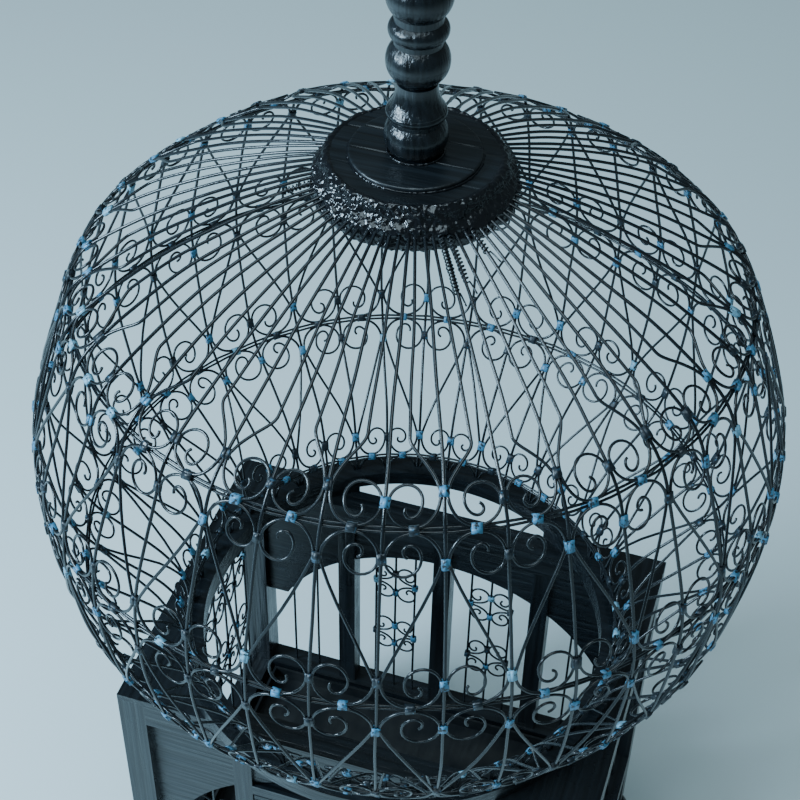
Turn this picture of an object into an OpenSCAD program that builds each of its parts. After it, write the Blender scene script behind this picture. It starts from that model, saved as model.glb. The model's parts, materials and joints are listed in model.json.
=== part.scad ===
// Bird cage on stand: a wire dome on a wooden house with a door and a pull-out tray.
// Units are millimetres, +Z is up, the house door faces -Y.

/* [Wire dome] */
// Widest diameter of the dome, measured on the wire centres
dome_d = 466; // [300:1:700]
// Upright wires round the dome
upright_count = 40; // [24:2:60]
// Diameter of the upright wires
wire_d = 1.9; // [1.2:0.1:3]
// Diameter of the hoop wires in the bands
hoop_wire_d = 1.4; // [1:0.1:2.4]
// Distance between the two hoop wires of a band
hoop_pair_gap = 2.2; // [1.6:0.1:5]
// Uprights that one length of hoop wire spans
hoop_arc_span = 4; // [2:1:6]
// Width of a sheet metal clip along the hoop
clip_w = 5; // [3:0.1:9]
// Height of a sheet metal clip
clip_h = 5.4; // [4:0.1:10]
// Depth of a sheet metal clip through the wires
clip_t = 2.6; // [2:0.1:5]

/* [Dome outline, hub to seat] */
// Fall of the wire where it leaves the hub, in degrees below level
leave_angle = 15; // [5:1:30]
// Length of the cap run
cap_len = 157; // [90:1:240]
// Bend of the cap run
cap_turn = 19; // [5:1:40]
// Length of the shoulder bend
shoulder_len = 28; // [15:1:60]
// Bend of the shoulder
shoulder_turn = 36; // [15:1:60]
// Length of the upper side
upper_len = 68; // [40:1:120]
// Bend of the upper side
upper_turn = 4; // [1:1:20]
// Length of the waist
waist_len = 48; // [25:1:90]
// Bend of the waist
waist_turn = 19; // [5:1:40]
// Length of the lower side
lower_len = 69; // [40:1:120]
// Bend of the lower side
lower_turn = 9; // [1:1:25]
// Length of the haunch bend
haunch_len = 45; // [25:1:80]
// Bend of the haunch
haunch_turn = 33; // [15:1:60]
// Length of the straight skirt
skirt_len = 39; // [20:1:80]
// Length of the foot of the wire, which turns back to upright
foot_len = 68; // [40:1:110]
// Back bend of the foot of the wire
foot_turn = 43; // [20:1:60]

/* [Bands of scrolls] */
// Run of wire from the hub to the middle of the first band
band_a_run = 174; // [120:1:220]
// Run of wire from the hub to the middle of the second band
band_b_run = 287; // [240:1:330]
// Run of wire from the hub to the middle of the third band
band_c_run = 397; // [350:1:440]
// Run of wire from the hub to the middle of the last band
band_d_run = 506; // [470:1:512]

/* [Hub and finial] */
// Radius of the hub block inside the collar
hub_block_r = 49; // [30:0.5:70]
// Height of the hub block
hub_block_h = 25; // [15:0.5:40]
// Outer radius of the collar at its top
collar_top_r = 51; // [34:0.5:75]
// Outer radius of the collar at its foot
collar_foot_r = 61; // [40:0.5:85]
// Radius of the thin cap disc on the hub
cap_disc_r = 38; // [25:0.5:60]
// Thickness of the thin cap disc
cap_disc_h = 3; // [2:0.5:8]
// Height of the finial
finial_h = 156; // [90:1:220]
// Diameter of the dowel that joins the finial to the hub
dowel_d = 10; // [6:0.5:14]

/* [Seat ring] */
// Width of the wooden ring outside the wire ends
seat_out_w = 9; // [6:0.5:20]
// Width of the wooden ring inside the wire ends
seat_in_w = 8; // [5:0.5:20]
// Thickness of the wooden ring
seat_h = 12; // [8:0.5:24]
// Depth of the wire ends in the wooden ring
wire_sink = 5; // [2:0.5:10]

/* [House] */
// Width of the house
house_w = 340; // [260:1:460]
// Depth of the house
house_d = 244; // [200:1:360]
// Height of the house walls, rail to rail
house_h = 242; // [180:1:320]
// Clear height under the house
leg_h = 80; // [40:1:160]
// Thickness of the corner posts and rails
post_t = 20; // [14:0.5:30]
// Height of the rails
rail_h = 22; // [14:0.5:34]
// Thickness of the two roof boards
roof_t = 5; // [3:0.5:10]
// Diameter of the round feet
foot_d = 34; // [24:0.5:50]
// Height of the round feet
foot_h = 26; // [16:0.5:40]
// Thickness of the bay posts
bay_post_t = 14; // [8:0.5:20]
// Distance of the bay posts from the middle of a long wall
bay_post_x = 80; // [60:1:120]
// Thickness of the arch boards
arch_t = 8; // [5:0.5:14]
// Depth of wood over the crown of the arch
arch_crown = 24; // [10:0.5:40]
// Height of the arch from its ends to its crown
arch_rise = 80; // [30:0.5:110]
// Length of the arch ends that stand against the corner posts
arch_end_w = 18; // [10:0.5:40]
// Diameter of the wall bars
bar_d = 1.9; // [1.2:0.1:4]
// Depth of the bar ends in the wood
bar_sink = 4; // [2:0.5:8]
// Bars in each side wall
side_bar_count = 9; // [4:1:16]

/* [Door] */
// Thickness of the door frame
door_t = 10; // [6:0.5:14]
// Width of the door stiles and rails
door_stile_w = 11; // [7:0.5:20]
// Height of the sill under the door
sill_h = 12; // [8:0.5:20]
// Height of the lintel over the door
lintel_h = 10; // [6:0.5:18]
// Gap round the door
door_gap = 1; // [0.5:0.1:3]
// Bars in the door
door_bar_count = 6; // [3:1:12]
// Diameter of the hinge knuckles
knuckle_d = 5; // [4:0.1:8]
// Diameter of the hinge pins
pin_d = 2.4; // [1.6:0.1:4]
// Height of one hinge
hinge_h = 20; // [14:0.5:30]
// Length of the turn button
button_len = 30; // [22:0.5:44]
// Width of the turn button
button_w = 9; // [6:0.5:14]

/* [Tray] */
// Height of the tray walls
tray_h = 13; // [8:0.5:20]
// Thickness of the tray floor and walls
tray_t = 2; // [1:0.1:4]
// Thickness of the tray front
tray_front_t = 12; // [8:0.5:20]
// Diameter of the tray knob
knob_d = 16; // [10:0.5:26]

/* [Show] */
// Sub-part to draw, or all

/* [Hidden] */
$fn = 48;
wire_fn = 24;
dome_k = dome_d / 466;
running = 0.05;
weld_gap = 0.02;
weld_swell = 0.5;
slack = 0.3;

// Outline of one wire: lengths and bends of its runs from hub to seat, bends down are negative.
run_len = [cap_len, shoulder_len, upper_len, waist_len, lower_len, haunch_len, skirt_len, foot_len] * dome_k;
run_turn = [-cap_turn, -shoulder_turn, -upper_turn, -waist_turn, -lower_turn, -haunch_turn, 0, foot_turn];
run_count = len(run_len);

// Chord of a run that starts in direction t, bends by b and is s long.
function bow(s, t, b) =
    b == 0 ? s * [cos(t), sin(t)]
           : (s / (b * PI / 180)) * [sin(t + b) - sin(t), cos(t) - cos(t + b)];
function run_start(i) = i == 0 ? 0 : run_start(i - 1) + run_len[i - 1];
function run_dir(i) = i == 0 ? -leave_angle : run_dir(i - 1) + run_turn[i - 1];
function run_point(i) =
    i == 0 ? [hub_block_r + 0.5, 0]
           : run_point(i - 1) + bow(run_len[i - 1], run_dir(i - 1), run_turn[i - 1]);
function run_at(s, i = 0) = (i == run_count - 1 || s < run_start(i + 1)) ? i : run_at(s, i + 1);
function path_point(s) =
    let (i = run_at(s), part = s - run_start(i))
    run_point(i) + bow(part, run_dir(i), run_turn[i] * part / run_len[i]);
function path_dir(s) =
    let (i = run_at(s))
    run_dir(i) + run_turn[i] * (s - run_start(i)) / run_len[i];

// Levels
path_end = run_start(run_count);
path_fall = -path_point(path_end)[1];
seat_r = path_point(path_end)[0] + seat_out_w;
seat_hole_r = path_point(path_end)[0] - seat_in_w;
rail_z = leg_h;
frame_top = leg_h + house_h;
roof_top = frame_top + roof_t;
seat_top = roof_top + seat_h;
wire_z = seat_top - wire_sink + path_fall;
band_a = band_a_run * dome_k;
band_b = band_b_run * dome_k;
band_c = band_c_run * dome_k;
band_d = band_d_run * dome_k;
pitch = 360 / upright_count;
first_upright = 0.5;
hoop_inset = (wire_d + hoop_wire_d) / 2 - 0.2;
hoop_end_gap = 0.4;
hub_z = wire_z - hub_block_h / 2;
cap_disc_z = hub_z + hub_block_h;
finial_z = cap_disc_z + cap_disc_h;

// Height of the under side of an arch board at x
function arch_edge(x) =
    let (reach = min(abs(x), arch_open_w / 2))
    arch_open_z - arch_r + sqrt(arch_r * arch_r - reach * reach);

// House
half_w = house_w / 2;
half_d = house_d / 2;
roof_rim_w = 10;
roof_hole_r = min(seat_hole_r, half_w - roof_rim_w);
bay_w = house_w - 2 * post_t;
bay_d = house_d - 2 * post_t;
top_rail_z = frame_top - rail_h;
arch_foot_h = 2;
arch_h = arch_crown + arch_rise + arch_foot_h;
arch_open_z = top_rail_z - arch_crown;
arch_open_w = bay_w - 2 * arch_end_w;
arch_r = (arch_open_w * arch_open_w / 4 + arch_rise * arch_rise) / (2 * arch_rise);
sill_z = rail_z + rail_h + 2;
sill_top = sill_z + sill_h;
wall_y = half_d - post_t / 2;
door_w = 2 * bay_post_x - bay_post_t - 2 * door_gap;
door_z = sill_top + door_gap;
lintel_z = arch_edge(bay_post_x - bay_post_t / 2) - lintel_h;
door_h = lintel_z - door_gap - door_z;
door_front_y = -wall_y - bay_post_t / 2;
hinge_x = -bay_post_x + bay_post_t / 2 + door_gap / 2;
hinge_y = door_front_y - knuckle_d / 2;
leaf_t = 1;
leaf_w = 11;
hinge_low_z = door_z + door_h * 0.2;
hinge_high_z = door_z + door_h * 0.8;
button_z = door_z + door_h / 2;
button_t = 3;
button_screw_d = 3;
button_y = door_front_y - slack;
end_bar_step = (bay_w / 2 - bay_post_x - bay_post_t / 2) / 3;
foot_r = foot_h * 0.42;

// Tray
runner_w = 8;
runner_h = 6;
tray_z = rail_z + runner_h + slack;
tray_w = bay_w - 10;
tray_l = bay_d - 4;
tray_front_z = rail_z + 0.5;
tray_front_h = sill_z - tray_front_z - 0.5;
tray_front_y = -half_d;
knob_stem_d = 7;

paint = [0.06, 0.07, 0.08];
wood = [0.12, 0.12, 0.13];
iron = [0.10, 0.11, 0.12];
blue = [0.25, 0.45, 0.62];

// A length of bent wire in the plane of the dome radius, from run s0 to run s1.
module wire_run(s0, s1, d) {
    for (i = [0 : run_count - 1]) {
        a = max(s0, run_start(i) + (s0 < run_start(i) ? weld_gap : 0));
        b = min(s1, run_start(i) + run_len[i] - weld_gap);
        if (b > a + 1) {
            p = path_point(a);
            t = path_dir(a);
            turn = run_turn[i] * (b - a) / run_len[i];
            if (turn == 0) {
                translate([p[0], 0, p[1]])
                    rotate([0, 90 - t, 0])
                        cylinder(h = b - a, d = d, $fn = wire_fn);
            } else {
                r = (b - a) / (abs(turn) * PI / 180);
                side = turn > 0 ? 90 : -90;
                c = p + r * [cos(t + side), sin(t + side)];
                low = turn > 0 ? t - side : t - side + turn;
                translate([c[0], 0, c[1]])
                    rotate([90, 0, 0])
                        rotate([0, 0, low])
                            rotate_extrude(angle = abs(turn))
                                translate([r, 0])
                                    circle(d = d, $fn = wire_fn);
            }
        }
    }
}

// A small weld bead joins two runs of one wire.
module weld_beads(s0, s1) {
    for (i = [1 : run_count - 1])
        if (run_start(i) > s0 + 1 && run_start(i) < s1 - 1)
            translate([path_point(run_start(i))[0], 0, path_point(run_start(i))[1]])
                sphere(d = wire_d + weld_swell, $fn = wire_fn);
}

module wires(s0, s1) {
    for (k = [0 : upright_count - 1])
        rotate([0, 0, (k + first_upright) * pitch])
            translate([0, 0, wire_z])
                union() {
                    wire_run(s0, s1, wire_d);
                    weld_beads(s0, s1);
                }
}

module cap_wires() {
    color(paint) wires(0, band_a);
}

module upper_wires() {
    color(paint) wires(band_a, band_b);
}

module lower_wires() {
    color(paint) wires(band_b, band_c);
}

module skirt_wires() {
    color(paint) wires(band_c, path_end);
}

// Two hoop wires inside the uprights, in lengths whose ends meet inside a clip.
module hoop(s) {
    p = path_point(s);
    t = path_dir(s);
    for (side = [-1, 1], k = [0 : hoop_arc_span : upright_count - 1]) {
        r = p[0] + hoop_inset * sin(t) + side * hoop_pair_gap / 2 * cos(t);
        z = wire_z + p[1] - hoop_inset * cos(t) + side * hoop_pair_gap / 2 * sin(t);
        span = min(hoop_arc_span, upright_count - k) * pitch;
        gap = hoop_end_gap / r * 180 / PI;
        translate([0, 0, z])
            rotate([0, 0, (k + first_upright + 0.5) * pitch + gap / 2])
                rotate_extrude(angle = span - gap)
                    translate([r, 0])
                        circle(d = hoop_wire_d, $fn = wire_fn);
    }
}

module hoop_a() {
    color(paint) hoop(band_a);
}

module hoop_b() {
    color(paint) hoop(band_b);
}

module hoop_c() {
    color(paint) hoop(band_c);
}

module hoop_d() {
    color(paint) hoop(band_d);
}

// One clip between each pair of uprights, wrapped round both hoop wires.
module clips(s) {
    p = path_point(s);
    t = path_dir(s);
    for (k = [0 : upright_count - 1])
        rotate([0, 0, (k + first_upright + 0.5) * pitch])
            translate([p[0] + hoop_inset * sin(t), 0, wire_z + p[1] - hoop_inset * cos(t)])
                rotate([0, -t, 0])
                    cube([clip_h, clip_w, clip_t], center = true);
}

module clips_a() {
    color(blue) clips(band_a);
}

module clips_b() {
    color(blue) clips(band_b);
}

module clips_c() {
    color(blue) clips(band_c);
}

module clips_d() {
    color(blue) clips(band_d);
}

// Turned finial: cup, rim, bell, bulb, bead, second bulb and tip.
module finial_half() {
    k = finial_h / 156;
    scale([k, k])
        intersection() {
            square([30, 156]);
            union() {
                square([9, 150]);
                translate([4, 10.5]) circle(r = 14.2);
                translate([0, 12]) square([14.8, 14]);
                translate([14.2, 25.5]) circle(r = 3);
                difference() {
                    translate([0, 26]) square([16.4, 18]);
                    translate([37.6, 43]) circle(r = 26);
                }
                translate([3, 57.8]) circle(r = 14.8);
                translate([0, 62]) square([13.6, 24]);
                translate([10.4, 76.5]) circle(r = 6.3);
                translate([3, 97]) circle(r = 15.4);
                translate([7.4, 117]) circle(r = 4.6);
                translate([0, 133]) circle(r = 11.5);
                translate([0, 149]) circle(r = 7);
            }
        }
}

module finial() {
    color(paint)
        translate([0, 0, finial_z])
            difference() {
                intersection() {
                    rotate_extrude() finial_half();
                    cylinder(r = 40, h = finial_h);
                }
                translate([0, 0, -1]) cylinder(d = dowel_d, h = 31);
            }
}

module finial_dowel() {
    color(wood)
        translate([0, 0, hub_z + 3])
            cylinder(d = dowel_d, h = hub_block_h - 3 + cap_disc_h + 28);
}

module cap_disc() {
    color(wood)
        translate([0, 0, cap_disc_z])
            difference() {
                cylinder(r = cap_disc_r, h = cap_disc_h, $fn = 96);
                translate([0, 0, -1]) cylinder(d = dowel_d, h = cap_disc_h + 2);
            }
}

module hub_block() {
    color(wood)
        translate([0, 0, hub_z])
            difference() {
                cylinder(r = hub_block_r, h = hub_block_h, $fn = 96);
                translate([0, 0, 3]) cylinder(d = dowel_d, h = hub_block_h);
            }
}

// Hardened paste that grips the wire ends round the hub block.
module wire_collar() {
    color(paint)
        translate([0, 0, hub_z])
            difference() {
                cylinder(r1 = collar_foot_r, r2 = collar_top_r, h = hub_block_h, $fn = 96);
                translate([0, 0, -1]) cylinder(r = hub_block_r, h = hub_block_h + 2, $fn = 96);
            }
}

module seat_ring() {
    color(wood)
        translate([0, 0, roof_top])
            difference() {
                cylinder(r = seat_r, h = seat_h, $fn = 120);
                translate([0, 0, -1]) cylinder(r = seat_hole_r, h = seat_h + 2, $fn = 120);
            }
}

// Roof boards close the corners outside the seat ring.
module roof_board_left() {
    color(wood)
        translate([0, 0, frame_top])
            difference() {
                translate([-half_w, -half_d, 0])
                    cube([half_w - seat_hole_r * 0.35, house_d, roof_t]);
                translate([0, 0, -1]) cylinder(r = roof_hole_r, h = roof_t + 2, $fn = 120);
            }
}

module roof_board_right() {
    color(wood)
        translate([0, 0, frame_top])
            difference() {
                translate([seat_hole_r * 0.35, -half_d, 0])
                    cube([half_w - seat_hole_r * 0.35, house_d, roof_t]);
                translate([0, 0, -1]) cylinder(r = roof_hole_r, h = roof_t + 2, $fn = 120);
            }
}

// Square post on a round turned foot.
module corner_post(side, end) {
    color(wood)
        translate([side * (half_w - post_t / 2), end * (half_d - post_t / 2), 0])
            union() {
                translate([-post_t / 2, -post_t / 2, foot_h - 4])
                    cube([post_t, post_t, frame_top - foot_h + 4]);
                rotate_extrude()
                    intersection() {
                        square([foot_d, foot_h]);
                        union() {
                            square([foot_d / 2 - 6, foot_h]);
                            translate([foot_d / 2 - foot_r, foot_r]) circle(r = foot_r);
                        }
                    }
            }
}

module corner_post_front_left() {
    corner_post(-1, -1);
}

module corner_post_front_right() {
    corner_post(1, -1);
}

module corner_post_back_left() {
    corner_post(-1, 1);
}

module corner_post_back_right() {
    corner_post(1, 1);
}

module long_rail(end, z, h) {
    color(wood)
        translate([-bay_w / 2, end * wall_y - post_t / 2, z])
            cube([bay_w, post_t, h]);
}

module short_rail(side, z) {
    color(wood)
        translate([side * (half_w - post_t / 2) - post_t / 2, -bay_d / 2, z])
            cube([post_t, bay_d, rail_h]);
}

module top_rail_front() {
    long_rail(-1, top_rail_z, rail_h);
}

module top_rail_back() {
    long_rail(1, top_rail_z, rail_h);
}

module top_rail_left() {
    short_rail(-1, top_rail_z);
}

module top_rail_right() {
    short_rail(1, top_rail_z);
}

module bottom_rail_back() {
    long_rail(1, rail_z, rail_h);
}

module bottom_rail_left() {
    short_rail(-1, rail_z);
}

module bottom_rail_right() {
    short_rail(1, rail_z);
}

module front_sill() {
    long_rail(-1, sill_z, sill_h);
}

// Board under the top rail, cut to one round arch over the whole bay.
module arch_board(end) {
    color(wood)
        translate([0, end * wall_y + arch_t / 2, top_rail_z - arch_h])
            rotate([90, 0, 0])
                linear_extrude(height = arch_t)
                    difference() {
                        translate([-bay_w / 2, 0]) square([bay_w, arch_h]);
                        translate([0, arch_foot_h + arch_rise - arch_r]) circle(r = arch_r, $fn = 180);
                    }
}

module arch_board_front() {
    arch_board(-1);
}

module arch_board_back() {
    arch_board(1);
}

// Post up to the top rail, slotted over the arch board.
module bay_post(x, end, low) {
    difference() {
        translate([x - bay_post_t / 2, end * wall_y - bay_post_t / 2, low])
            cube([bay_post_t, bay_post_t, top_rail_z - low]);
        arch_board(end);
    }
}

module bay_posts_front() {
    color(wood)
        difference() {
            union() {
                bay_post(-bay_post_x, -1, sill_top);
                bay_post(bay_post_x, -1, sill_top);
            }
            translate([bay_post_x, door_front_y - 1, button_z])
                rotate([-90, 0, 0])
                    cylinder(d = button_screw_d, h = 11);
        }
}

module bay_posts_back() {
    color(wood) {
        bay_post(-bay_post_x, 1, rail_z + rail_h);
        bay_post(0, 1, rail_z + rail_h);
        bay_post(bay_post_x, 1, rail_z + rail_h);
    }
}

module door_lintel() {
    color(wood)
        translate([-bay_post_x + bay_post_t / 2, -wall_y - bay_post_t / 2, lintel_z])
            cube([2 * bay_post_x - bay_post_t, bay_post_t, lintel_h]);
}

module bar(x, y, low, high) {
    translate([x, y, low]) cylinder(h = high - low, d = bar_d, $fn = wire_fn);
}

// Bars in the narrow end bays of a long wall.
module end_bars(end, low) {
    for (side = [-1, 1], k = [1, 2]) {
        x = bay_post_x + bay_post_t / 2 + k * end_bar_step;
        bar(side * x, end * wall_y, low - bar_sink, arch_edge(x) + bar_sink);
    }
}

module front_bars() {
    color(iron) end_bars(-1, sill_top);
}

module back_bars() {
    inner = bay_post_x - bay_post_t;
    color(iron) {
        end_bars(1, rail_z + rail_h);
        for (side = [-1, 1], k = [1 : 3]) {
            x = bay_post_t / 2 + inner * k / 4;
            bar(side * x, wall_y, rail_z + rail_h - bar_sink, arch_edge(x) + bar_sink);
        }
    }
}

module side_bars(side) {
    step = bay_d / (side_bar_count + 1);
    color(iron)
        for (k = [1 : side_bar_count])
            bar(side * (half_w - post_t / 2), -bay_d / 2 + k * step,
                rail_z + rail_h - bar_sink, top_rail_z + bar_sink);
}

module left_bars() {
    side_bars(-1);
}

module right_bars() {
    side_bars(1);
}

module door_frame() {
    color(wood)
        translate([-door_w / 2, door_front_y, door_z])
            difference() {
                cube([door_w, door_t, door_h]);
                translate([door_stile_w, -1, door_stile_w])
                    cube([door_w - 2 * door_stile_w, door_t + 2, door_h - 2 * door_stile_w]);
            }
}

module door_bars() {
    inner = door_w - 2 * door_stile_w;
    color(iron)
        for (k = [1 : door_bar_count])
            bar(-inner / 2 + inner * k / (door_bar_count + 1), door_front_y + door_t / 2,
                door_z + door_stile_w - bar_sink, door_z + door_h - door_stile_w + bar_sink);
}

module knuckle(z, low, high) {
    translate([hinge_x, hinge_y, z + low])
        difference() {
            cylinder(d = knuckle_d, h = high - low);
            translate([0, 0, -1]) cylinder(d = pin_d + 2 * running, h = high - low + 2);
        }
}

// Door leaf of a hinge: plate on the door face, one middle knuckle.
module door_leaf(z) {
    third = hinge_h / 3;
    reach = knuckle_d / 2 + slack;
    union() {
        translate([hinge_x + reach, door_front_y - leaf_t, z])
            cube([leaf_w, leaf_t, hinge_h]);
        translate([hinge_x, door_front_y - leaf_t, z + third + slack])
            cube([reach + 1, leaf_t, third - 2 * slack]);
        knuckle(z, third + slack, 2 * third - slack);
    }
}

// Post leaf of a hinge: plate on the post face, two outer knuckles.
module post_leaf(z) {
    third = hinge_h / 3;
    reach = knuckle_d / 2 + slack;
    union() {
        translate([hinge_x - reach - leaf_w, door_front_y - leaf_t, z])
            cube([leaf_w, leaf_t, hinge_h]);
        for (low = [0, 2 * third]) {
            translate([hinge_x - reach - 1, door_front_y - leaf_t, z + low])
                cube([reach + 1, leaf_t, third]);
            knuckle(z, low, low + third);
        }
    }
}

module door_hinge_leaves() {
    color(iron) {
        door_leaf(hinge_low_z - hinge_h / 2);
        door_leaf(hinge_high_z - hinge_h / 2);
    }
}

module post_hinge_leaves() {
    color(iron) {
        post_leaf(hinge_low_z - hinge_h / 2);
        post_leaf(hinge_high_z - hinge_h / 2);
    }
}

module hinge_pins() {
    color(iron)
        for (z = [hinge_low_z, hinge_high_z])
            translate([hinge_x, hinge_y, z - hinge_h / 2 - 1])
                union() {
                    cylinder(d = pin_d, h = hinge_h + 1);
                    translate([0, 0, hinge_h + 1]) cylinder(d = knuckle_d - 0.6, h = 1.5);
                }
}

// Flat turn button, upright when the door is free.
module turn_button() {
    color(iron)
        translate([bay_post_x, button_y, button_z])
            rotate([90, 0, 0])
                linear_extrude(height = button_t)
                    difference() {
                        union() {
                            translate([-button_w / 2, -button_len / 2 + button_w / 2])
                                square([button_w, button_len - button_w]);
                            translate([0, button_len / 2 - button_w / 2]) circle(d = button_w);
                            translate([0, -button_len / 2 + button_w / 2]) circle(d = button_w);
                        }
                        circle(d = button_screw_d + 2 * running);
                    }
}

module button_screw() {
    color(iron)
        translate([bay_post_x, door_front_y + 10, button_z])
            rotate([90, 0, 0])
                union() {
                    cylinder(d = button_screw_d, h = 10 + button_t + 2 * slack);
                    translate([0, 0, 10 + button_t + 2 * slack]) cylinder(d = 6.5, h = 1.6);
                }
}

module tray_runners() {
    color(wood)
        for (side = [-1, 1])
            translate([side * (bay_w / 2 - runner_w / 2) - runner_w / 2, -bay_d / 2, rail_z])
                cube([runner_w, bay_d, runner_h]);
}

module tray_pan() {
    color(iron)
        translate([-tray_w / 2, tray_front_y + tray_front_t, tray_z])
            difference() {
                cube([tray_w, half_d + tray_l / 2 - tray_front_t, tray_h]);
                translate([tray_t, tray_t, tray_t])
                    cube([tray_w - 2 * tray_t, half_d + tray_l / 2 - tray_front_t - 2 * tray_t, tray_h]);
            }
}

module tray_front() {
    color(wood)
        difference() {
            translate([-bay_w / 2 + 0.5, tray_front_y, tray_front_z])
                cube([bay_w - 1, tray_front_t, tray_front_h]);
            translate([0, tray_front_y - 1, tray_front_z + tray_front_h / 2])
                rotate([-90, 0, 0])
                    cylinder(d = knob_stem_d, h = 9);
        }
}

// Turned knob with a round stem let into the tray front.
module tray_knob() {
    color(wood)
        translate([0, tray_front_y + 8, tray_front_z + tray_front_h / 2])
            rotate([90, 0, 0])
                rotate_extrude() {
                    square([knob_stem_d / 2, 20]);
                    translate([0, 8]) square([knob_d / 2 - 2, 1.5]);
                    translate([knob_d / 2 - 4, 18]) circle(r = 4);
                    translate([0, 14]) square([knob_d / 2 - 4, 8]);
                }
}

finial();
finial_dowel();
cap_disc();
hub_block();
wire_collar();
cap_wires();
upper_wires();
lower_wires();
skirt_wires();
hoop_a();
hoop_b();
hoop_c();
hoop_d();
clips_a();
clips_b();
clips_c();
clips_d();
seat_ring();
roof_board_left();
roof_board_right();
corner_post_front_left();
corner_post_front_right();
corner_post_back_left();
corner_post_back_right();
top_rail_front();
top_rail_back();
top_rail_left();
top_rail_right();
bottom_rail_back();
bottom_rail_left();
bottom_rail_right();
front_sill();
arch_board_front();
arch_board_back();
bay_posts_front();
bay_posts_back();
door_lintel();
front_bars();
back_bars();
left_bars();
right_bars();
door_frame();
door_bars();
door_hinge_leaves();
post_hinge_leaves();
hinge_pins();
turn_button();
button_screw();
tray_runners();
tray_pan();
tray_front();
tray_knob();
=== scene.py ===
"""Looks of the bird cage: bent wires, scrolls, clips, paste, grained wood, light and camera."""
import json
import math
import random

import bpy
import numpy as np
from mathutils import Matrix, Vector, noise


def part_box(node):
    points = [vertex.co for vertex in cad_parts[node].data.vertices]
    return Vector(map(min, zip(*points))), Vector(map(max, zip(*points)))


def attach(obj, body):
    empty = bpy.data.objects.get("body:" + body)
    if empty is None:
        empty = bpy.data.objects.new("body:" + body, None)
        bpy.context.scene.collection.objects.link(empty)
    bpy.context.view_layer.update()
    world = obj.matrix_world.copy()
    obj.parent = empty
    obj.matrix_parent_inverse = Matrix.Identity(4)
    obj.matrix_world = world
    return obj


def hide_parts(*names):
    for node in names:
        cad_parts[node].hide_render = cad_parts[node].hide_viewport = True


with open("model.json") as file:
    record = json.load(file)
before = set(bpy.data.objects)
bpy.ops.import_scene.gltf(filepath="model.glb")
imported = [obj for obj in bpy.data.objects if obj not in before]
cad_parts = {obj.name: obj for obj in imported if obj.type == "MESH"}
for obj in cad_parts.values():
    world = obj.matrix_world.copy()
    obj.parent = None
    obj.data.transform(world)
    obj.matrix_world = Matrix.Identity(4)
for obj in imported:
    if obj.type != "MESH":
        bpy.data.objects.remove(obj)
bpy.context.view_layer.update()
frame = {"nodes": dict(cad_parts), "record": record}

MM = 0.001
dice = random.Random(41)

# ---------------------------------------------------------------- dome outline, in millimetres

UPRIGHTS = 40
PITCH = 2 * math.pi / UPRIGHTS
PHASE = 0.5
LEAVE_ANGLE = math.radians(15)
# Length and bend in degrees of each run of a wire, from the hub to the seat ring.
RUNS = ((157, -19), (28, -36), (68, -4), (48, -19), (69, -9), (45, -33), (39, 0), (68, 43))
PATH_END = sum(length for length, bend in RUNS)
BAND_RUNS = (174, 287, 397, 506)
# Run from the middle of a band up to its top clips and down to its low clips,
# first at the uprights where three wires meet, then at those with four curls.
JOIN_RISES = ((20, 19), (20, 19), (18, 17), (18, 14))
CURL_RISES = ((14, 16), (18, 17), (16, 14), (16, 14))
WIRE_R = 1.0
SCROLL_R = 0.84
CLIP_GAP = 1.6
HOOP_LIFT = -1.45
COLLAR_DEPTH = 5
# Hand-bent unevenness of the dome fades out over these runs at the hub and at the seat ring.
FADE_AT_HUB = 90
FADE_AT_SEAT = 60
# Width, height and depth of the clips in the top row, the low row and on the hoops.
TOP_CLIP = (4.9, 6.4, 3.0)
LOW_CLIP = (4.9, 6.0, 3.0)
HOOP_CLIP = (5.4, 5.2, 3.5)
WALL_CLIP = (4.6, 5.4, 3.0)
BAR_CLIP = (4.6, 5.0, 3.2)

hub_low, hub_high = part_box("hub_block")
cap_low, cap_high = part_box("cap_disc")
collar_low, collar_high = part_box("wire_collar")
HUB_R = hub_high.x / MM
START_R = HUB_R + 0.5
START_Z = (hub_low.z + hub_high.z) / 2 / MM


def outline(run):
    """Radius, height and slope of the dome wire at a run from the hub."""
    r, z, slope = START_R, START_Z, -LEAVE_ANGLE
    for length, bend in RUNS:
        part = min(run, length)
        turn = math.radians(bend) * part / length
        if abs(turn) < 1e-9:
            r += part * math.cos(slope)
            z += part * math.sin(slope)
        else:
            arm = part / turn
            r += arm * (math.sin(slope + turn) - math.sin(slope))
            z += arm * (math.cos(slope) - math.cos(slope + turn))
        slope += turn
        run -= part
        if run <= 0:
            break
    return r, z, slope


def dome_point(upright, x, run, lift=0.0):
    """A point on the hand-bent dome: x along the hoop from an upright, lift outward."""
    r, z, slope = outline(run)
    angle = (upright + PHASE) * PITCH + x / r
    fade = min(1, max(0, run) / FADE_AT_HUB) * min(1, max(0, PATH_END - run) / FADE_AT_SEAT)
    around = Vector((1.6 * math.cos(angle), 1.6 * math.sin(angle), run / 130))
    fine = Vector((5 * math.cos(angle), 5 * math.sin(angle), run / 45))
    out = lift + fade * (2.6 * noise.noise(around) + 0.9 * noise.noise(fine))
    sway = fade * (2.0 * noise.noise(around + Vector((7, 3, 1)))
                   + 0.8 * noise.noise(fine + Vector((2, 9, 4))))
    sink = fade * 2.4 * noise.noise(around + Vector((1, 8, 5)))
    r2 = r - out * math.sin(slope)
    z2 = z + out * math.cos(slope) + sink
    angle += sway / r
    return Vector((r2 * math.cos(angle), r2 * math.sin(angle), z2)) * MM


def width_at(run):
    return outline(run)[0] * PITCH


# ---------------------------------------------------------------- mesh building

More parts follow.
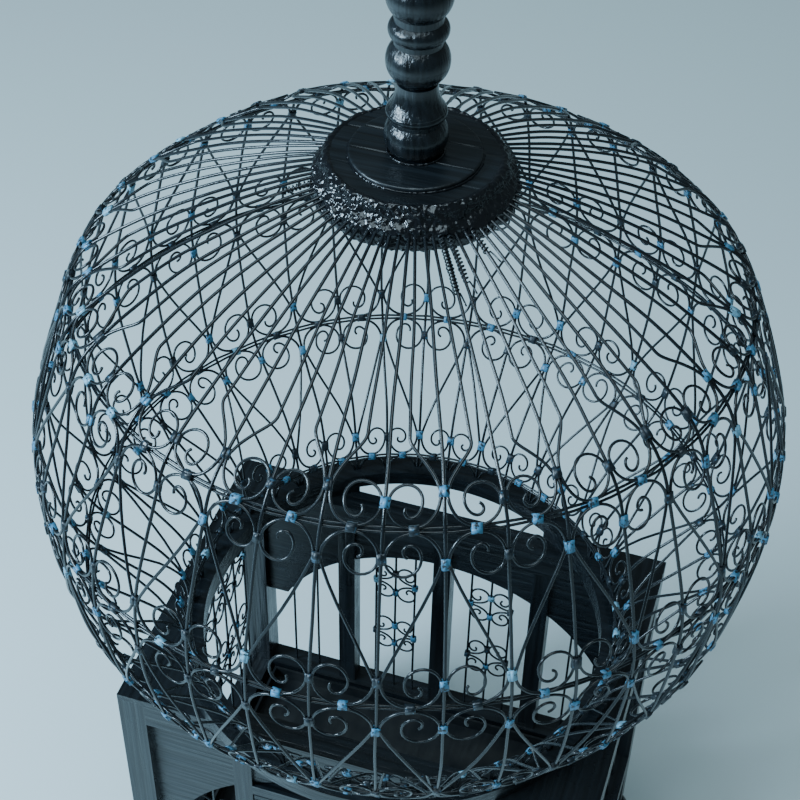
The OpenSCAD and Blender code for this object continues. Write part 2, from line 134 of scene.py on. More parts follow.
class Solids:
    """Many small solids collected in one mesh."""

    def __init__(self):
        self.points = []
        self.faces = []

    def add(self, points, faces):
        start = len(self.points)
        self.points.extend(tuple(p) for p in points)
        self.faces.extend(tuple(start + i for i in face) for face in faces)

    def tube(self, path, radius, sides=8):
        """A round wire along a path of points in metres, closed at both ends."""
        line = np.array([tuple(p) for p in path])
        ways = np.gradient(line, axis=0)
        ways /= np.linalg.norm(ways, axis=1)[:, None] + 1e-12
        side = np.cross(ways[0], (0.0, 0.0, 1.0))
        if np.linalg.norm(side) < 0.1:
            side = np.cross(ways[0], (1.0, 0.0, 0.0))
        around = np.arange(sides) * 2 * math.pi / sides
        radii = np.broadcast_to(radius, (len(line),))
        rings = []
        for point, way, r in zip(line, ways, radii):
            side = side - way * side.dot(way)
            side /= np.linalg.norm(side)
            up = np.cross(way, side)
            rings.append(point + r * (np.outer(np.cos(around), side) + np.outer(np.sin(around), up)))
        faces = [tuple(range(sides))[::-1], tuple(range((len(rings) - 1) * sides, len(rings) * sides))]
        for i in range(len(rings) - 1):
            for j in range(sides):
                k = (j + 1) % sides
                faces.append((i * sides + j, i * sides + k, (i + 1) * sides + k, (i + 1) * sides + j))
        self.add(np.concatenate(rings), faces)

    def lathe(self, rings, closed=True):
        """Rings of points of equal length, joined into a skin."""
        count = len(rings[0])
        faces = []
        last = len(rings) if closed else len(rings) - 1
        for i in range(last):
            j = (i + 1) % len(rings)
            for a in range(count):
                b = (a + 1) % count
                faces.append((i * count + a, i * count + b, j * count + b, j * count + a))
        self.add([p for ring in rings for p in ring], faces)

    def piece(self, name, material, slot, body="cage", replaces=()):
        mesh = bpy.data.meshes.new(name)
        mesh.from_pydata(self.points, [], self.faces)
        mesh.materials.append(material)
        mesh.polygons.foreach_set("use_smooth", [True] * len(mesh.polygons))
        mesh.update()
        obj = bpy.data.objects.new(name, mesh)
        bpy.context.scene.collection.objects.link(obj)
        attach(obj, body)
        if replaces:
            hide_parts(*replaces)
        return obj


def smooth_line(points, steps=5):
    """Catmull-Rom points through given points."""
    pts = [np.array(p, float) for p in points]
    pts = [2 * pts[0] - pts[1]] + pts + [2 * pts[-1] - pts[-2]]
    line = []
    for a, b, c, d in zip(pts, pts[1:], pts[2:], pts[3:]):
        for i in range(steps):
            t = i / steps
            line.append(0.5 * (2 * b + (c - a) * t + (2 * a - 5 * b + 4 * c - d) * t ** 2
                               + (3 * b - a - 3 * c + d) * t ** 3))
    line.append(pts[-2])
    return line


# ---------------------------------------------------------------- materials

def shader(name, color, roughness, metallic=0.0):
    """A material with its tree, its main shader and its object coordinates."""
    material = bpy.data.materials.new(name)
    material.use_nodes = True
    tree = material.node_tree
    bsdf = tree.nodes["Principled BSDF"]
    bsdf.inputs["Base Color"].default_value = (*color, 1)
    bsdf.inputs["Roughness"].default_value = roughness
    bsdf.inputs["Metallic"].default_value = metallic
    coords = tree.nodes.new("ShaderNodeTexCoord")
    return material, tree, bsdf, coords.outputs["Object"]


def noise_node(tree, coords, scale, detail=4.0, stretch=(1, 1, 1)):
    mapping = tree.nodes.new("ShaderNodeMapping")
    mapping.inputs["Scale"].default_value = tuple(scale * s for s in stretch)
    tree.links.new(coords, mapping.inputs["Vector"])
    node = tree.nodes.new("ShaderNodeTexNoise")
    node.inputs["Scale"].default_value = 1.0
    node.inputs["Detail"].default_value = detail
    tree.links.new(mapping.outputs["Vector"], node.inputs["Vector"])
    return node.outputs["Fac"]


def spread(tree, value, low, high, out_low, out_high):
    node = tree.nodes.new("ShaderNodeMapRange")
    for name, number in (("From Min", low), ("From Max", high), ("To Min", out_low), ("To Max", out_high)):
        node.inputs[name].default_value = number
    tree.links.new(value, node.inputs["Value"])
    return node.outputs["Result"]


def tint(tree, value, stops):
    node = tree.nodes.new("ShaderNodeValToRGB")
    ramp = node.color_ramp
    while len(ramp.elements) < len(stops):
        ramp.elements.new(0.5)
    for element, (place, color) in zip(ramp.elements, stops):
        element.position = place
        element.color = (*color, 1)
    tree.links.new(value, node.inputs["Fac"])
    return node.outputs["Color"]


def bump(tree, bsdf, value, strength, distance, under=None):
    node = tree.nodes.new("ShaderNodeBump")
    node.inputs["Strength"].default_value = strength
    node.inputs["Distance"].default_value = distance
    tree.links.new(value, node.inputs["Height"])
    if under is not None:
        tree.links.new(under, node.inputs["Normal"])
    tree.links.new(node.outputs["Normal"], bsdf.inputs["Normal"])
    return node.outputs["Normal"]


def wire_paint(name="wire_paint", color=(0.005, 0.007, 0.009)):
    """Satin black paint, brushed on thick and a little dusty."""
    material, tree, bsdf, coords = shader(name, color, 0.22)
    drips = noise_node(tree, coords, 520, 3)
    dust = noise_node(tree, coords, 45, 4)
    tree.links.new(spread(tree, dust, 0.3, 0.7, 0.13, 0.3), bsdf.inputs["Roughness"])
    lighter = tuple(2.2 * c for c in color)
    tree.links.new(tint(tree, dust, ((0.35, color), (0.75, lighter))), bsdf.inputs["Base Color"])
    bump(tree, bsdf, drips, 0.35, 0.0003)
    return material


def wood_paint(name, along, gloss=0.26, depth=0.7, color=(0.005, 0.007, 0.009)):
    """Thin dark paint over open grain that runs along one axis."""
    material, tree, bsdf, coords = shader(name, color, gloss)
    stretch = [1.0, 1.0, 1.0]
    stretch["XYZ".index(along)] = 0.035
    fibres = noise_node(tree, coords, 1300, 5, stretch)
    figure = noise_node(tree, coords, 260, 6, stretch)
    patches = noise_node(tree, coords, 22, 5)
    tree.links.new(spread(tree, patches, 0.35, 0.65, gloss * 0.7, gloss * 1.35), bsdf.inputs["Roughness"])
    lighter = tuple(2.1 * c for c in color)
    tree.links.new(tint(tree, figure, ((0.36, tuple(0.6 * c for c in color)), (0.72, lighter))),
                   bsdf.inputs["Base Color"])
    normal = bump(tree, bsdf, figure, depth, 0.0012)
    bump(tree, bsdf, fibres, depth * 0.35, 0.0003, normal)
    return material


def paste_paint():
    """Glossy lumpy paste under the same black paint."""
    material, tree, bsdf, coords = shader("collar_paste", (0.004, 0.005, 0.007), 0.14)
    lumps = noise_node(tree, coords, 560, 6)
    grains = noise_node(tree, coords, 1900, 3)
    tree.links.new(spread(tree, lumps, 0.3, 0.7, 0.08, 0.22), bsdf.inputs["Roughness"])
    normal = bump(tree, bsdf, lumps, 0.35, 0.0008)
    bump(tree, bsdf, grains, 0.12, 0.0002, normal)
    return material


def clip_paint(name, fresh, worn, wear):
    """Old coloured paint on sheet metal, chipped and partly painted over."""
    material, tree, bsdf, coords = shader(name, fresh, 0.34)
    chips = noise_node(tree, coords, 420, 5)
    shade = noise_node(tree, coords, 130, 3)
    bright = tuple(1.25 * c for c in fresh)
    base = tint(tree, chips, ((wear - 0.04, worn), (wear + 0.03, fresh), (0.8, bright)))
    tree.links.new(base, bsdf.inputs["Base Color"])
    tree.links.new(spread(tree, shade, 0.3, 0.7, 0.24, 0.5), bsdf.inputs["Roughness"])
    bump(tree, bsdf, chips, 0.6, 0.0005)
    return material


def iron_paint():
    material, tree, bsdf, coords = shader("iron_fittings", (0.018, 0.020, 0.023), 0.45, 0.6)
    pits = noise_node(tree, coords, 800, 5)
    rust = noise_node(tree, coords, 120, 5)
    tree.links.new(tint(tree, rust, ((0.5, (0.016, 0.019, 0.022)), (0.78, (0.05, 0.032, 0.022)))),
                   bsdf.inputs["Base Color"])
    bump(tree, bsdf, pits, 0.5, 0.0004)
    return material


def tray_metal():
    material, tree, bsdf, coords = shader("tray_metal", (0.02, 0.023, 0.026), 0.5, 0.5)
    streaks = noise_node(tree, coords, 300, 4, (1, 0.08, 1))
    stains = noise_node(tree, coords, 30, 5)
    tree.links.new(tint(tree, stains, ((0.4, (0.012, 0.015, 0.018)), (0.7, (0.035, 0.037, 0.037)))),
                   bsdf.inputs["Base Color"])
    tree.links.new(spread(tree, streaks, 0.3, 0.7, 0.3, 0.55), bsdf.inputs["Roughness"])
    bump(tree, bsdf, streaks, 0.3, 0.0003)
    return material


def bare_wood():
    material, tree, bsdf, coords = shader("bare_wood", (0.35, 0.24, 0.14), 0.6)
    rings = noise_node(tree, coords, 500, 5, (1, 1, 0.05))
    tree.links.new(tint(tree, rings, ((0.35, (0.26, 0.17, 0.09)), (0.7, (0.45, 0.32, 0.2)))),
                   bsdf.inputs["Base Color"])
    bump(tree, bsdf, rings, 0.4, 0.0005)
    return material


PAINT = wire_paint()
TURNED = wood_paint("turned_wood", "Z", 0.2, 0.95)
PLANK_X = wood_paint("wood_along_x", "X")
PLANK_Y = wood_paint("wood_along_y", "Y")
PLANK_Z = wood_paint("wood_along_z", "Z")
HUB_WOOD = wood_paint("hub_wood", "X", 0.3, 0.5)
PASTE = paste_paint()
IRON = iron_paint()
TRAY_METAL = tray_metal()
BARE = bare_wood()
DARK = (0.012, 0.015, 0.018)
CLIP_PAINTS = (
    clip_paint("clip_blue", (0.065, 0.20, 0.33), DARK, 0.44),
    clip_paint("clip_pale", (0.17, 0.36, 0.48), DARK, 0.40),
    clip_paint("clip_black", (0.010, 0.016, 0.022), (0.04, 0.10, 0.16), 0.38),
)
CLIP_CHANCES = (0.42, 0.10, 0.48)

# ---------------------------------------------------------------- scrolls in a flat or curved wall


def quarter(x0, y0, x1, y1, steps=9):
    """Leaves (x0, y0) level and arrives at (x1, y1) upright."""
    turns = [i / steps * math.pi / 2 for i in range(steps + 1)]
    return [(x0 + (x1 - x0) * math.sin(t), y0 + (y1 - y0) * (1 - math.cos(t))) for t in turns]


def curl(x0, y0, radius, side, up):
    """A wire that rises upright at (x0, y0), goes over and hooks in with a tighter bend."""
    end = dice.uniform(6.6, 8.0)
    hook = dice.uniform(0.36, 0.46)
    tall = dice.uniform(1.0, 1.12)
    count = 30
    x, y = x0, y0
    points = []
    for i in range(count):
        turn = end * (i + 0.5) / count
        arm = radius * np.interp(turn, (0, 3.3, 4.6, 8.0), (1, 0.96, hook, 0.72 * hook))
        x += side * arm * math.sin(turn) * end / count
        y += up * tall * arm * math.cos(turn) * end / count
        points.append((x, y))
    return points


def scroll(width, rise, side, up, radius):
    """One scroll wire: from the middle clip beside an upright to its top clip, then a curl."""
    reach = width / 2 * side
    start = [(reach + 2.5 * side, 1.3 * up)]
    arc = quarter(reach, 1.3 * up, CLIP_GAP * side, rise * up)
    return start + arc + curl(CLIP_GAP * side, rise * up, radius * dice.uniform(0.93, 1.07), side, up)


def clip_solid(solids, centre, across, along, out, width, height, depth):
    """A strip of sheet metal wrapped round wires that run along, lapped on its face."""
    bend = 0.28
    outline_points = ((-1, -1 + bend), (-1 + bend, -1), (1 - bend, -1), (1, -1 + bend),
                      (1, 1 - bend), (1 - bend, 1), (-1 + bend, 1), (-1, 1 - bend))
    rings = []
    for level, swell in ((-0.5, 0.72), (-0.5, 1.0), (-0.12, 1.03), (0.14, 0.97), (0.5, 1.02), (0.5, 0.72)):
        ring = []
        for a, b in outline_points:
            dent = swell * dice.uniform(0.96, 1.05)
            ring.append(centre + across * (a * dent * width / 2) + out * (b * dent * depth / 2)
                        + along * (level * height))
        rings.append(ring)
    solids.lathe(rings, closed=False)
    count = len(outline_points)
    base = len(solids.points) - len(rings) * count
    solids.faces.append(tuple(base + i for i in range(count))[::-1])
    solids.faces.append(tuple(base + (len(rings) - 1) * count + i for i in range(count)))
    lap = centre + out * (depth / 2 + 0.12 * MM) + across * (width * dice.uniform(-0.2, 0.2))
    box_solid(solids, lap, across * (width * 0.27), along * (height * 0.49), out * (0.28 * MM))


def box_solid(solids, centre, a, b, c):
    corners = [centre + i * a + j * b + k * c for i in (-1, 1) for j in (-1, 1) for k in (-1, 1)]
    solids.add(corners, ((0, 1, 3, 2), (4, 6, 7, 5), (0, 4, 5, 1), (2, 3, 7, 6), (0, 2, 6, 4), (1, 5, 7, 3)))


def pick_clip(groups):
    return dice.choices(groups, CLIP_CHANCES)[0]


def wrap_clip(groups, place, x, y, lift, size, upright=True):
    """A clip at a place on a wall, round upright wires or round hoop wires."""
    centre = place(x, y, lift)
    across = (place(x + 1, y, lift) - centre).normalized()
    along = (place(x, y + 1, lift) - centre).normalized()
    out = across.cross(along).normalized()
    if out.dot(place(x, y, lift + 1) - centre) < 0:
        out.negate()
    tilt = Matrix.Rotation(math.radians(dice.uniform(-7, 7)), 3, out)
    across, along = tilt @ across, tilt @ along
    width, height, depth = (v * MM * dice.uniform(0.9, 1.12) for v in size)
    if upright:
        clip_solid(pick_clip(groups), centre, across, along, out, width, height, depth)
    else:
        clip_solid(pick_clip(groups), centre, along, across, out, height, width, depth)


# ---------------------------------------------------------------- dome wires

HUB_SPREAD = 0.5
KINK_SPREAD = 0.56
KINK_RISE = 26


def upright_wires():
    """The straight wire at each upright, from the hub down into the seat ring."""
    solids = Solids()
    for k in range(UPRIGHTS):
        jitter = dice.uniform(-0.9, 0.9)
        path = []
        run = -COLLAR_DEPTH
        while run <= PATH_END + 4:
            settle = max(0, 1 - max(0, run) / 120)
            path.append(dome_point(k, jitter * settle, run))
            run += 4.5
        solids.tube(path, WIRE_R * MM)
    return solids


def outer_wire(k, side):
    """The wire beside an upright: parallel to it, kinked in to its clip, then zigzag to the seat."""
    points = []
    hub_x = side * HUB_SPREAD * width_at(0) + dice.uniform(-0.8, 0.8)
    kink_run = BAND_RUNS[0] - JOIN_RISES[0][0] - KINK_RISE * dice.uniform(0.88, 1.15)
    kink_x = side * width_at(kink_run) * KINK_SPREAD * dice.uniform(0.86, 1.14)
    steps = 26
    for i in range(steps + 1):
        t = i / steps
        run = -COLLAR_DEPTH + t * (kink_run + COLLAR_DEPTH)
        share = 0.02 + 0.98 * max(0, run) / kink_run
        level = side * width_at(run) * HUB_SPREAD * (1 - share)
        points.append((k, level + share * kink_x * outline(run)[0] / outline(kink_run)[0]
                       + (hub_x - side * HUB_SPREAD * width_at(0)) * (1 - share), run, 0.3))
    top_run = BAND_RUNS[0] - JOIN_RISES[0][0]
    drop = top_run - kink_run
    bowed = ((1.0, 0.0), (0.96, 0.10), (0.82, 0.24), (0.55, 0.46), (0.28, 0.72), (0.12, 0.9))
    bend = [(kink_x * a if a > 0.2 else kink_x * a + side * CLIP_GAP * 0.4, kink_run + drop * b)
            for a, b in bowed] + [(side * CLIP_GAP, top_run)]
    points += [(k, p[0], p[1], 0.3) for p in smooth_line(bend, 3)[1:]]
    home, hand = k, side
    for band, middle in enumerate(BAND_RUNS):
        rise, drop = JOIN_RISES[band]
        width = width_at(middle)
        upper = quarter(hand * width / 2, 1.6, hand * CLIP_GAP, rise)[::-1]
        lower = quarter(hand * width / 2, -1.6, hand * CLIP_GAP, -drop)
        points += [(home, x, middle - y, 0.1) for x, y in upper[1:] + lower]
        if band == len(BAND_RUNS) - 1:
            break
        next_run = BAND_RUNS[band + 1] - JOIN_RISES[band + 1][0]
        start_run = middle + drop
        fall = next_run - start_run
        start_x = hand * CLIP_GAP
        end_x = hand * (PITCH * outline(next_run)[0] - CLIP_GAP)
        bow = dice.uniform(-0.05, 0.07)
        for share in (0.08, 0.2, 0.35, 0.5, 0.65, 0.8, 0.92, 1.0):
            eased = share + bow * math.sin(math.pi * share)
            eased = 0.82 * eased + 0.18 * (3 * share ** 2 - 2 * share ** 3)
            points.append((home, start_x + (end_x - start_x) * eased, start_run + fall * share, 0.2))
        home, hand = home + hand, -hand
    return [dome_point(home, x, run, lift) for home, x, run, lift in points]


def outer_wires():
    solids = Solids()
    for k in range(0, UPRIGHTS, 2):
        for side in (-1, 1):
            solids.tube(outer_wire(k, side), WIRE_R * 0.92 * MM)
    return solids


def band_scrolls(band):
    """Four scrolls round every second upright of a band, three-wire uprights between them."""
    solids = Solids()
    middle = BAND_RUNS[band]
    rise, drop = CURL_RISES[band]
    last = band == len(BAND_RUNS) - 1
    width = width_at(middle)
    for k in range((band + 1) % 2, UPRIGHTS, 2):
        for side in (-1, 1):
            for up, height in ((1, rise), (-1, drop)):
                if last and up < 0:
                    flat = quarter(side * width / 2, -1.3, side * CLIP_GAP, -drop)
                else:
                    flat = scroll(width, height, side, up, 0.285 * width)
                solids.tube([dome_point(k, x, middle - y, 0.25) for x, y in flat], SCROLL_R * MM, 6)
    return solids


def band_hoops(band):
    """Two hoop wires inside the uprights, a little slack between their clips."""
    solids = Solids()
    middle = BAND_RUNS[band]
    for hand in (-1, 1):
        path = []
        for i in range(UPRIGHTS * 4):
            at = i / 4
            slack = abs(math.sin(math.pi * (at - 0.5))) * dice.uniform(0.2, 0.7)
            path.append(dome_point(0, at * width_at(middle), middle + hand * (0.85 + slack), HOOP_LIFT))
        path.append(path[0])
        solids.tube(path, SCROLL_R * MM, 6)
    return solids


def band_clips(band, groups):
    middle = BAND_RUNS[band]
    width = width_at(middle)
    last = band == len(BAND_RUNS) - 1
    for k in range(UPRIGHTS):
        rise, drop = (CURL_RISES if (k + band) % 2 else JOIN_RISES)[band]

        def place(x, y, lift, k=k):
            return dome_point(k, x, middle - y, lift)
        wrap_clip(groups, place, 0, rise, 0.1, TOP_CLIP)
        if not last:
            wrap_clip(groups, place, 0, -drop, 0.1, LOW_CLIP)
        wrap_clip(groups, place, width / 2, 0, -0.6, HOOP_CLIP, upright=False)


# ---------------------------------------------------------------- hub, collar and repairs

def paste_collar():
    """Lumpy ring of paste that swallows the wire ends."""
    solids = Solids()
    foot_r, top_r = collar_high.x / MM, HUB_R + 1.4
    low, high = collar_low.z / MM, collar_high.z / MM
    profile = ((HUB_R - 2, high - 0.6), (top_r, high + 0.4), (top_r + 2.6, high - 3), (top_r + 4.4, high - 8),
               (foot_r - 2.4, (low + high) / 2), (foot_r - 0.6, low + 6), (foot_r - 2, low + 1.5),
               (foot_r - 6, low + 0.4), (HUB_R - 2, low + 0.8))
    line = smooth_line(profile, 9)
    rings = []
    sectors = 640
    for i in range(sectors):
        angle = 2 * math.pi * i / sectors
        ring = []
        for r, z in line:
            spot = Vector((r * math.cos(angle), r * math.sin(angle), z))
            edge = min(1, max(0, r - HUB_R + 1.5) / 2.5)
            lump = 1.5 * noise.noise(spot / 9) + 1.4 * noise.noise(spot / 3.4) + 0.9 * noise.noise(spot / 1.7)
            grown = r + edge * (lump - 0.4)
            ring.append(Vector((grown * math.cos(angle), grown * math.sin(angle),
                                z + edge * 0.5 * noise.noise(spot / 2.8))) * MM)
        rings.append(ring)
    solids.lathe(rings)
    return solids


def paste_bead(radius, level, thick):
    """A thin uneven bead of paste round a foot."""
    solids = Solids()
    rings = []
    sectors = 300
    for i in range(sectors):
        angle = 2 * math.pi * i / sectors
        spot = Vector((radius * math.cos(angle), radius * math.sin(angle), level))
        swell = thick * (0.75 + 0.6 * noise.noise(spot / 5) + 0.5 * noise.noise(spot / 1.6))
        swell = max(0.15, swell)
        ring = []
        for j in range(8):
            turn = 2 * math.pi * j / 8
            r = radius + swell * math.cos(turn)
            z = level + swell * math.sin(turn)
            ring.append(Vector((r * math.cos(angle), r * math.sin(angle), z)) * MM)
        rings.append(ring)
    solids.lathe(rings)
    return solids


def planked_disc(radius, low, high, joints, hole):
    """A turned disc with a soft edge and open plank joints that run along X."""
    solids = Solids()
    sectors = 360
    edge = 1.2
    inner = [hole + (radius - edge - hole) * i / 46 for i in range(47)]
    profile = [(r, high) for r in inner]
    profile += [(radius - edge + edge * math.sin(t), high - edge + edge * math.cos(t))
                for t in (0.4, 0.8, 1.2, 1.57)]
    profile += [(radius, low), (hole, low)]
    rings = []
    for r, z in profile:
        ring = []
        for i in range(sectors):
            angle = 2 * math.pi * i / sectors
            x, y = r * math.cos(angle), r * math.sin(angle)
            cut = 0
            if z > high - edge:
                for joint, depth, wide in joints:
                    gap = y - joint - 0.5 * noise.noise(Vector((x / 16, joint, 0)))
                    cut = max(cut, depth * math.exp(-(gap / wide) ** 2))
                cut += 0.12 + 0.12 * noise.noise(Vector((x / 40, y / 1.3, 2)))
            ring.append(Vector((x, y, z - cut)) * MM)
        rings.append(ring)
    solids.lathe(rings)
    return solids


def repair_wires():
    """Thin tie wire twisted round pairs of cap wires near the hub, with loose ends."""
    solids = Solids()
    front = -UPRIGHTS / 4 - PHASE
    for upright, start, length, turns in ((front + 3.5, 4, 42, 19), (front + 4.0, 10, 30, 12),
                                          (front + 5.5, 6, 20, 8), (front - 7.0, 8, 18, 8)):
        path = []
        count = int(turns * 12)
        for i in range(count + 1):
            t = i / count
            turn = 2 * math.pi * turns * t
            wide = 1.6 + 0.5 * noise.noise(Vector((t * 9, turns, 0)))
            path.append(dome_point(upright, wide * math.cos(turn), start + length * t,
                                   0.1 + wide * math.sin(turn)))
        for i in range(1, 5):
            path.append(dome_point(upright, 1.6 + 0.3 * i, start + length + 2.2 * i, 0.5 + 0.2 * i))
        solids.tube(path, 0.5 * MM, 6)
    return solids


# ---------------------------------------------------------------- scrolls in the house walls

def bar_places(node, axis):
    """Middles of the bars of a node along X (0) or Y (1), in millimetres."""
    values = sorted(v.co[axis] / MM for v in frame["nodes"][node].data.vertices)
    groups = [[values[0]]]
    for value in values[1:]:
        if value - groups[-1][-1] > 4:
            groups.append([])
        groups[-1].append(value)
    return [(g[0] + g[-1]) / 2 for g in groups]


def wall_scrolls(solids, groups, node, axis, out, centres, step, levels):
    """Scroll sets round chosen bars of a wall, with clips where they meet the bars."""
    low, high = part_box(node)
    middle = (low + high) / 2 / MM
    radius = min(0.43 * step, 9)
    rise = radius * 1.6

    def placed(base, level):
        def place(x, y, lift):
            point = Vector(middle)
            point[axis] = base + x
            point[1 - axis] += out * lift
            point.z = level + y
            return point * MM
        return place

    for base in centres:
        for share in levels:
            place = placed(base, low.z / MM + share * (high.z - low.z) / MM)
            for side in (-1, 1):
                for up in (1, -1):
                    flat = scroll(2 * step, rise, side, up, radius)
                    solids.tube([place(x, y, 0.3) for x, y in flat[1:]], SCROLL_R * MM, 6)
                wrap_clip(groups, place, 0, side * rise, 0.1, WALL_CLIP)
                wrap_clip(groups, place, side * step, 0, 0.1, BAR_CLIP)


# ---------------------------------------------------------------- build the wires

def build_clips(name, groups, body, replaces):
    labels = ("blue", "pale", "black")
    for label, solids, paint in zip(labels, groups, CLIP_PAINTS):
        if solids.points:
            solids.piece(f"{name}_{label}", paint, "clip_paint", body, replaces if label == "blue" else ())


upright_wires().piece("dome_uprights", PAINT, "wire_paint",
                      replaces=("cap_wires", "upper_wires", "lower_wires", "skirt_wires"))
outer_wires().piece("dome_outer_wires", PAINT, "wire_paint")
for number, letter in enumerate("abcd"):
    band_scrolls(number).piece(f"scrolls_{letter}", PAINT, "wire_paint")
    band_hoops(number).piece(f"hoops_{letter}", PAINT, "wire_paint", replaces=(f"hoop_{letter}",))
    clip_groups = [Solids() for paint in CLIP_PAINTS]
    band_clips(number, clip_groups)
    build_clips(f"band_clips_{letter}", clip_groups, "cage", (f"clips_{letter}",))

paste_collar().piece("paste_collar", PASTE, "collar_paste", replaces=("wire_collar",))
paste_bead(cap_high.x / MM, cap_low.z / MM + 0.2, 1.1).piece("cap_bead", PASTE, "collar_paste")
paste_bead(16.2, cap_high.z / MM + 0.2, 0.8).piece("finial_bead", PASTE, "collar_paste")
repair_wires().piece("repair_wires", PAINT, "wire_paint")

DOWEL_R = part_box("finial_dowel")[1].x / MM
# Place, depth and half width of the plank joints of each disc.
HUB_JOINTS = ((14, 0.7, 0.6), (-21, 0.6, 0.6))
CAP_JOINTS = ((13, 0.7, 0.6), (-9, 0.6, 0.6))
planked_disc(HUB_R, hub_low.z / MM + 0.3, hub_high.z / MM, HUB_JOINTS, DOWEL_R).piece(
    "hub_planks", HUB_WOOD, "hub_wood", replaces=("hub_block",))
planked_disc(cap_high.x / MM, cap_low.z / MM, cap_high.z / MM, CAP_JOINTS, DOWEL_R).piece(
    "cap_planks", HUB_WOOD, "hub_wood", replaces=("cap_disc",))

cage_scrolls = Solids()
cage_clips = [Solids() for paint in CLIP_PAINTS]
for node, out in (("left_bars", -1), ("right_bars", 1)):
    places = bar_places(node, 1)
    gap = places[1] - places[0]
    wall_scrolls(cage_scrolls, cage_clips, node, 1, out, places[1::2], gap, (0.78, 0.4))
places = bar_places("front_bars", 0)
gap = places[1] - places[0]
wall_scrolls(cage_scrolls, cage_clips, "front_bars", 0, -1, (places[1], places[-2]), gap, (0.66, 0.3))
places = bar_places("back_bars", 0)
gap = places[4] - places[3]
wall_scrolls(cage_scrolls, cage_clips, "back_bars", 0, 1, (places[3], places[6]), gap, (0.76, 0.4))
cage_scrolls.piece("wall_scrolls", PAINT, "wire_paint")
build_clips("wall_clips", cage_clips, "cage", ())

door_scrolls = Solids()
door_clips = [Solids() for paint in CLIP_PAINTS]
places = bar_places("door_bars", 0)
gap = places[1] - places[0]
wall_scrolls(door_scrolls, door_clips, "door_bars", 0, -1, (places[1], places[4]), gap, (0.74, 0.36))
door_scrolls.piece("door_scrolls", PAINT, "wire_paint", "door")
build_clips("door_clips", door_clips, "door", ())

# ---------------------------------------------------------------- finishes of the CAD nodes

SLOT_PAINTS = {
    "wire_paint": PAINT, "collar_paste": PASTE, "hub_wood": TURNED, "iron_fittings": IRON,
    "tray_metal": TRAY_METAL, "seat_wood": PLANK_X, "bare_wood": BARE, "house_wood": PLANK_X,
    "clip_paint": CLIP_PAINTS[0],
}
NODE_PAINTS = {
    "roof_board_left": PLANK_Y, "roof_board_right": PLANK_Y, "top_rail_left": PLANK_Y,
    "top_rail_right": PLANK_Y, "bottom_rail_left": PLANK_Y, "bottom_rail_right": PLANK_Y,
    "bay_posts_front": PLANK_Z, "bay_posts_back": PLANK_Z, "tray_runners": PLANK_Y,
    "corner_post_front_left": PLANK_Z, "corner_post_front_right": PLANK_Z,
    "corner_post_back_left": PLANK_Z, "corner_post_back_right": PLANK_Z,
}
for part in frame["record"]["subparts"]:
    node = frame["nodes"][part["node"]]
    paint = NODE_PAINTS.get(part["node"], SLOT_PAINTS[part["material_slot"]])
    if not node.material_slots:
        node.data.materials.append(paint)
    for material_slot in node.material_slots:
        material_slot.material = paint
    if part["material_slot"] in ("house_wood", "seat_wood"):
        bevel = node.modifiers.new("soft_edges", "BEVEL")
        bevel.width = 0.9 * MM
        bevel.segments = 2
        bevel.limit_method = "ANGLE"
        bevel.angle_limit = math.radians(50)

# ---------------------------------------------------------------- floor, light and camera

floor_material = shader("floor", (0.66, 0.77, 0.79), 0.8)[0]
floor_mesh = bpy.data.meshes.new("floor")
REACH = 14
floor_mesh.from_pydata([(-REACH, -REACH, 0), (REACH, -REACH, 0), (REACH, REACH, 0), (-REACH, REACH, 0)], [],
                       [(0, 1, 2, 3)])
floor_mesh.materials.append(floor_material)
floor = bpy.data.objects.new("floor", floor_mesh)
bpy.context.scene.collection.objects.link(floor)

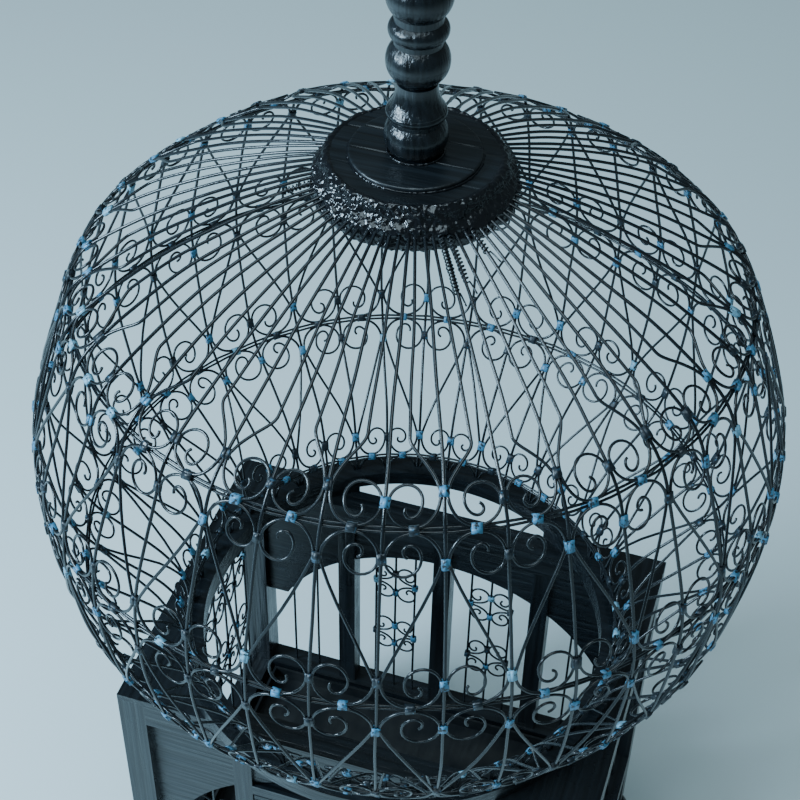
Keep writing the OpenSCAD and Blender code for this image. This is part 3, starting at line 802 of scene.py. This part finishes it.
# The camera stands a little to the right of the door side and looks steeply down.
CAMERA_TURN = math.radians(17)
CAMERA_DISTANCE = 0.787
CAMERA_OVER_WIRES = 0.562
CAMERA_PITCH = math.radians(43.2)
CAMERA_ROLL = math.radians(1.32)
CAMERA_SIDE = 0.0055
forward = Vector((-math.sin(CAMERA_TURN), math.cos(CAMERA_TURN), 0))
right = Vector((math.cos(CAMERA_TURN), math.sin(CAMERA_TURN), 0))
look = forward * math.cos(CAMERA_PITCH) - Vector((0, 0, math.sin(CAMERA_PITCH)))
rise = forward * math.sin(CAMERA_PITCH) + Vector((0, 0, math.cos(CAMERA_PITCH)))
cam_x = right * math.cos(CAMERA_ROLL) + rise * math.sin(CAMERA_ROLL)
cam_y = rise * math.cos(CAMERA_ROLL) - right * math.sin(CAMERA_ROLL)
camera_data = bpy.data.cameras.new("camera")
camera_data.sensor_width = 36
camera_data.lens = 76.5
camera_data.clip_start = 0.01
camera = bpy.data.objects.new("camera", camera_data)
bpy.context.scene.collection.objects.link(camera)
turn = Matrix((cam_x, cam_y, -look)).transposed().to_4x4()
spot = -forward * CAMERA_DISTANCE - right * CAMERA_SIDE + Vector((0, 0, START_Z * MM + CAMERA_OVER_WIRES))
camera.matrix_world = Matrix.Translation(spot) @ turn
bpy.context.scene.camera = camera


def soft_light(name, place, size, power, color):
    """A square soft box aimed at the dome."""
    light = bpy.data.lights.new(name, "AREA")
    light.shape = "SQUARE"
    light.size = size
    light.energy = power
    light.color = color
    obj = bpy.data.objects.new(name, light)
    bpy.context.scene.collection.objects.link(obj)
    obj.location = place
    aim = Vector((0, 0, 0.5)) - place
    obj.rotation_euler = aim.to_track_quat("-Z", "Y").to_euler()
    return obj


soft_light("window", -right * 1.7 - forward * 0.55 + Vector((0, 0, 1.35)), 0.7, 82, (0.56, 0.80, 1.0))
soft_light("ceiling", -right * 0.5 - forward * 0.9 + Vector((0, 0, 3.6)), 2.4, 86, (0.70, 0.90, 1.0))
world = bpy.data.worlds.new("studio")
world.use_nodes = True
world.node_tree.nodes["Background"].inputs["Color"].default_value = (0.56, 0.76, 0.84, 1)
world.node_tree.nodes["Background"].inputs["Strength"].default_value = 0.2
bpy.context.scene.world = world
